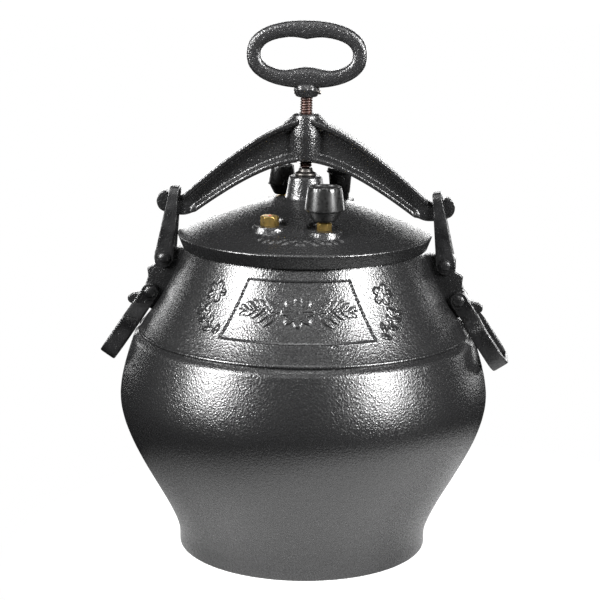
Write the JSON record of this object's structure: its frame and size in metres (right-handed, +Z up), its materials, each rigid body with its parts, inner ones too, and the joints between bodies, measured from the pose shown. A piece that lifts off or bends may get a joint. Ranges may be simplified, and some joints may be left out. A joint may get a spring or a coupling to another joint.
{
  "type": "stovetop pressure cooker",
  "caption": "Cast aluminium belly pressure cooker with a screwed-down lid, clamp yoke and ring handle, swinging side links, carrying loops, pressure regulator and safety plug.",
  "frame": {"origin": "centre of the flat base, on the surface that the pot stands on", "axes": "+Z up along the pot's axis and the clamp screw, +X along the yoke towards the right link, -Y towards the front, where the regulator is"},
  "size_m": [0.3226, 0.2894, 0.415],
  "materials": {
    "hammertone_casting": "charcoal black hammertone paint, glossy and pebbled",
    "painted_steel": "black paint over pressed steel strap",
    "bare_steel": "turned steel",
    "screw_steel": "cut thread, darkened and reddish brown",
    "brass": "turned, bright",
    "black_plastic": "moulded, semi-gloss",
    "gasket_rubber": "moulded silicone",
    "washer_rubber": "punched sheet",
    "red_insert": "moulded, red"
  },
  "bodies": {
    "pot": {"pot_body": "hammertone_casting", "left_ear": "hammertone_casting", "right_ear": "hammertone_casting", "left_ear_screws": "bare_steel", "right_ear_screws": "bare_steel", "left_link_pin": "painted_steel", "right_link_pin": "painted_steel", "left_handle_pin": "painted_steel", "right_handle_pin": "painted_steel"},
    "lid": {"lid": "hammertone_casting", "lid_gasket": "gasket_rubber", "regulator_nozzle": "brass", "regulator_washer": "washer_rubber", "regulator_nut": "brass", "safety_plug": "brass", "safety_disc": "red_insert", "safety_washer": "washer_rubber", "safety_nut": "brass", "relief_nozzle": "brass", "relief_nut": "brass", "lid_knob": "black_plastic", "lid_knob_screw": "bare_steel"},
    "screw": {"clamp_screw": "screw_steel", "screw_handle": "hammertone_casting", "handle_cross_pin": "bare_steel", "foot_retaining_ring": "bare_steel"},
    "yoke": {"yoke": "hammertone_casting"},
    "foot": {"screw_foot": "bare_steel"},
    "left_link": {"left_link": "painted_steel"},
    "right_link": {"right_link": "painted_steel"},
    "left_handle": {"left_handle": "painted_steel"},
    "right_handle": {"right_handle": "painted_steel"},
    "regulator": {"regulator_weight": "black_plastic", "regulator_cap": "black_plastic"},
    "relief": {"relief_weight": "black_plastic", "relief_cap": "black_plastic"}
  },
  "joints": [
    {"name": "lid_turn", "type": "hinge", "parent": "pot", "child": "lid", "pos_m": [0, 0, 0.2486], "axis": [0, 0, 1], "range_deg": [-25, 25]},
    {"name": "screw_turn", "type": "hinge", "parent": "pot", "child": "screw", "pos_m": [0, 0, 0.296], "axis": [0, 0, 1], "range_deg": [-810, 720]},
    {"name": "yoke_rise", "type": "slide", "parent": "pot", "child": "yoke", "axis": [0, 0, 1], "range_m": [-0.004, 0.0045]},
    {"name": "foot_swivel", "type": "hinge", "parent": "screw", "child": "foot", "pos_m": [0, 0, 0.296], "axis": [0, 0, 1], "continuous": true},
    {"name": "left_link_swing", "type": "hinge", "parent": "pot", "child": "left_link", "pos_m": [-0.1103, 0, 0.2295], "axis": [0, 1, 0], "range_deg": [-95, 0]},
    {"name": "right_link_swing", "type": "hinge", "parent": "pot", "child": "right_link", "pos_m": [0.1103, 0, 0.2295], "axis": [0, -1, 0], "range_deg": [-95, 0]},
    {"name": "left_handle_swing", "type": "hinge", "parent": "pot", "child": "left_handle", "pos_m": [-0.1213, 0, 0.202], "axis": [0, 1, 0], "range_deg": [0, 100]},
    {"name": "right_handle_swing", "type": "hinge", "parent": "pot", "child": "right_handle", "pos_m": [0.1213, 0, 0.202], "axis": [0, -1, 0], "range_deg": [0, 100]},
    {"name": "regulator_lift", "type": "slide", "parent": "lid", "child": "regulator", "axis": [0, 0, 1], "range_m": [0, 0.025]},
    {"name": "relief_lift", "type": "slide", "parent": "lid", "child": "relief", "axis": [0, 0, 1], "range_m": [0, 0.025]}
  ],
  "couplings": [
    {"joint": "yoke_rise", "follows": "screw_turn", "m_per_rad": -0.00031831}
  ]
}
